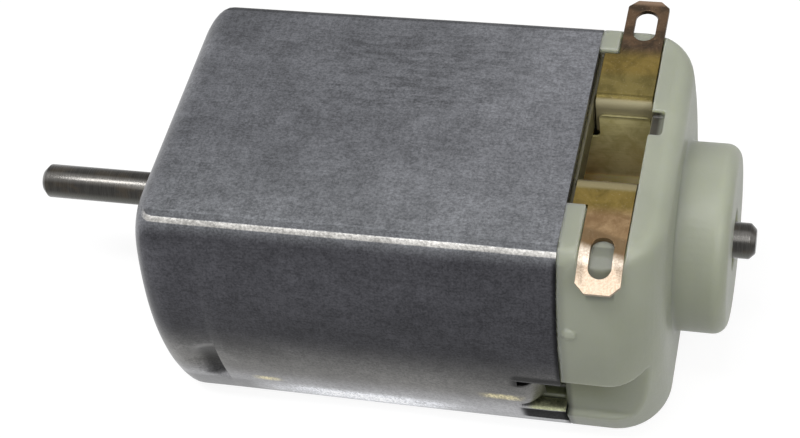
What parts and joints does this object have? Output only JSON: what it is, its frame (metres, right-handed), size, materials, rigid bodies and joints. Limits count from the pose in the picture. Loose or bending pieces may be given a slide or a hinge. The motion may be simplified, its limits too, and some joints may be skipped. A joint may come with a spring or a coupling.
{
  "type": "small brushed direct-current motor",
  "caption": "Small brushed DC motor in a flat-sided steel can with a nylon end bell, solder tabs and a plain round output shaft.",
  "frame": {"origin": "on the shaft axis, in the plane of the can's front face", "axes": "+X along the shaft and out of the output end, +Z square to the flat beside the terminals, +Y to the left-hand side"},
  "size_m": [0.042, 0.0207, 0.0152],
  "materials": {
    "can_steel": "zinc-plated sheet steel, fine lengthwise drawing marks",
    "nylon": "translucent milky nylon, satin moulded",
    "copper_strip": "bare phosphor-bronze strip, lightly tarnished",
    "shaft_steel": "ground bright",
    "sintered_bronze": "oil-filled sintered bronze, dull",
    "ferrite": "matt fired ferrite",
    "spring_steel": "bright drawn wire",
    "silicon_steel": "punched plate edges",
    "insulator_plastic": "matt moulded",
    "enamelled_wire": "glossy enamel over copper wire",
    "commutator_copper": "turned copper",
    "phenolic": "moulded phenolic",
    "fibre": "matt fibre",
    "carbon": "matt pressed carbon"
  },
  "bodies": {
    "stator": {"motor_can": "can_steel", "end_bell": "nylon", "front_bearing": "sintered_bronze", "rear_bearing": "sintered_bronze", "magnet_left": "ferrite", "magnet_right": "ferrite", "magnet_spring": "spring_steel", "terminal_left": "copper_strip", "terminal_right": "copper_strip"},
    "rotor": {"shaft": "shaft_steel", "lamination_stack": "silicon_steel", "insulator_front": "insulator_plastic", "insulator_rear": "insulator_plastic", "coil_a": "enamelled_wire", "coil_b": "enamelled_wire", "coil_c": "enamelled_wire", "commutator_core": "phenolic", "commutator_segment_a": "commutator_copper", "commutator_segment_b": "commutator_copper", "commutator_segment_c": "commutator_copper", "commutator_ring": "fibre", "front_washer": "fibre", "rear_washer": "fibre"},
    "brush_left": {"brush_arm_left": "copper_strip", "carbon_brush_left": "carbon"},
    "brush_right": {"brush_arm_right": "copper_strip", "carbon_brush_right": "carbon"}
  },
  "joints": [
    {"name": "rotor_spin", "type": "hinge", "parent": "stator", "child": "rotor", "pos_m": [-0.012, 0, 0], "axis": [1, 0, 0], "continuous": true},
    {"name": "brush_left_flex", "type": "hinge", "parent": "stator", "child": "brush_left", "pos_m": [-0.0251, 0.0027, 0.005], "axis": [1, 0, 0], "range_deg": [0, 8], "stiffness_Nm_per_rad": 0.01, "springref_deg": -5.73},
    {"name": "brush_right_flex", "type": "hinge", "parent": "stator", "child": "brush_right", "pos_m": [-0.0251, -0.0027, 0.005], "axis": [-1, 0, 0], "range_deg": [0, 8], "stiffness_Nm_per_rad": 0.01, "springref_deg": -5.73}
  ]
}
